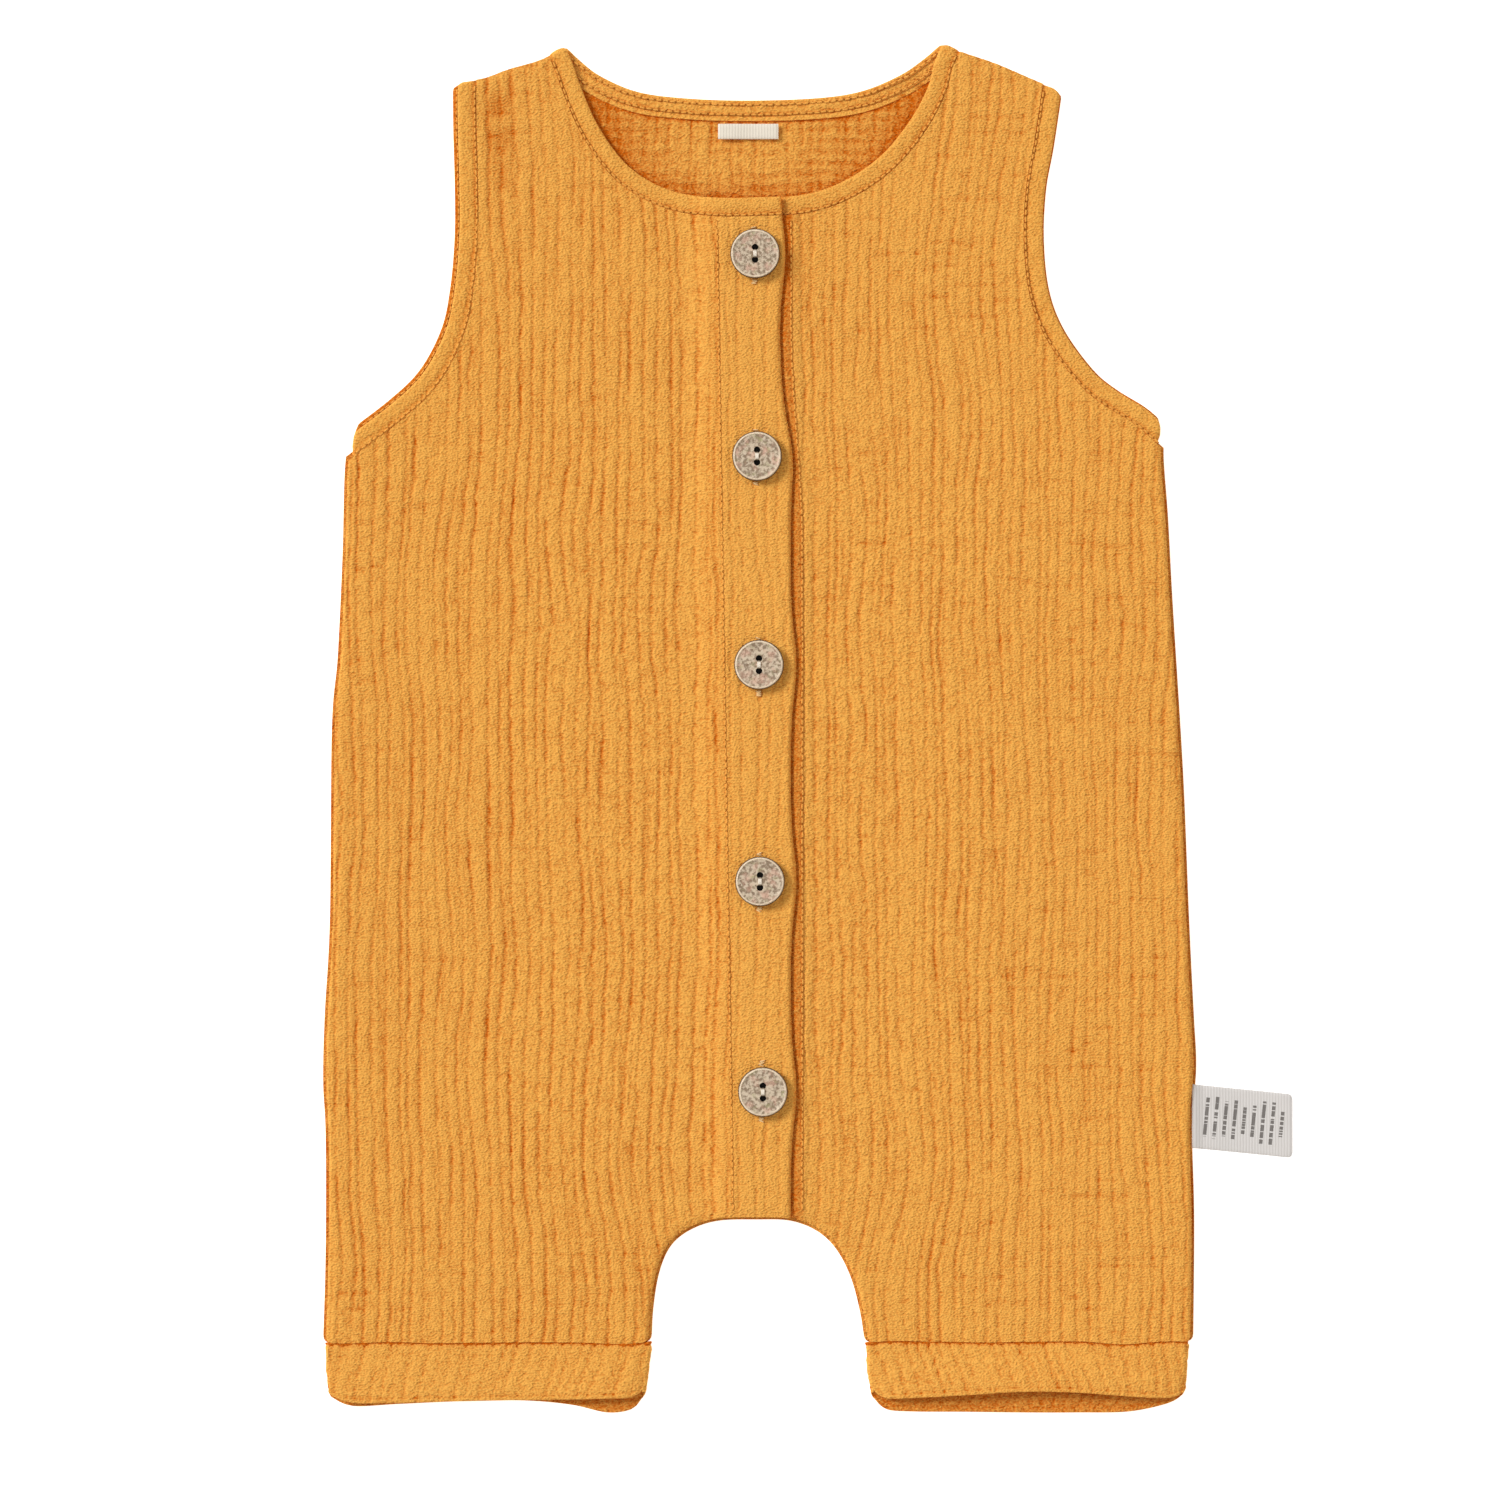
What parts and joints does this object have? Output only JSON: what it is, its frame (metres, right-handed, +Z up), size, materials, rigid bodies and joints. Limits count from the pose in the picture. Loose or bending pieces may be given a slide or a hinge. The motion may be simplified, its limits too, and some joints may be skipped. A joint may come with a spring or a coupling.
{
  "type": "baby romper laid flat",
  "caption": "Sleeveless short-legged baby romper in crinkled mustard double gauze with a buttoned front, bound neck and armholes and turned cuffs, laid flat.",
  "frame": {"origin": "on the underside where the back rests, on the garment's centre line, 151 mm above the crotch and 163 mm below the front neck edge", "axes": "+X to the wearer's left, +Y from the legs to the neck, +Z up from the surface that the romper lies on"},
  "size_m": [0.2974, 0.4203, 0.0085],
  "materials": {
    "gauze": "matte crinkled cotton",
    "binding": "matte cotton",
    "coconut": "satin",
    "label": "satin ribbon"
  },
  "bodies": {
    "root": {"back_body": "gauze", "front_right": "gauze", "front_left": "gauze", "neck_binding": "binding", "armhole_binding_right": "binding", "armhole_binding_left": "binding", "leg_cuff_right": "gauze", "leg_cuff_left": "gauze", "button_1": "coconut", "button_2": "coconut", "button_3": "coconut", "button_4": "coconut", "button_5": "coconut", "size_label": "label", "care_label": "label"}
  },
  "joints": []
}
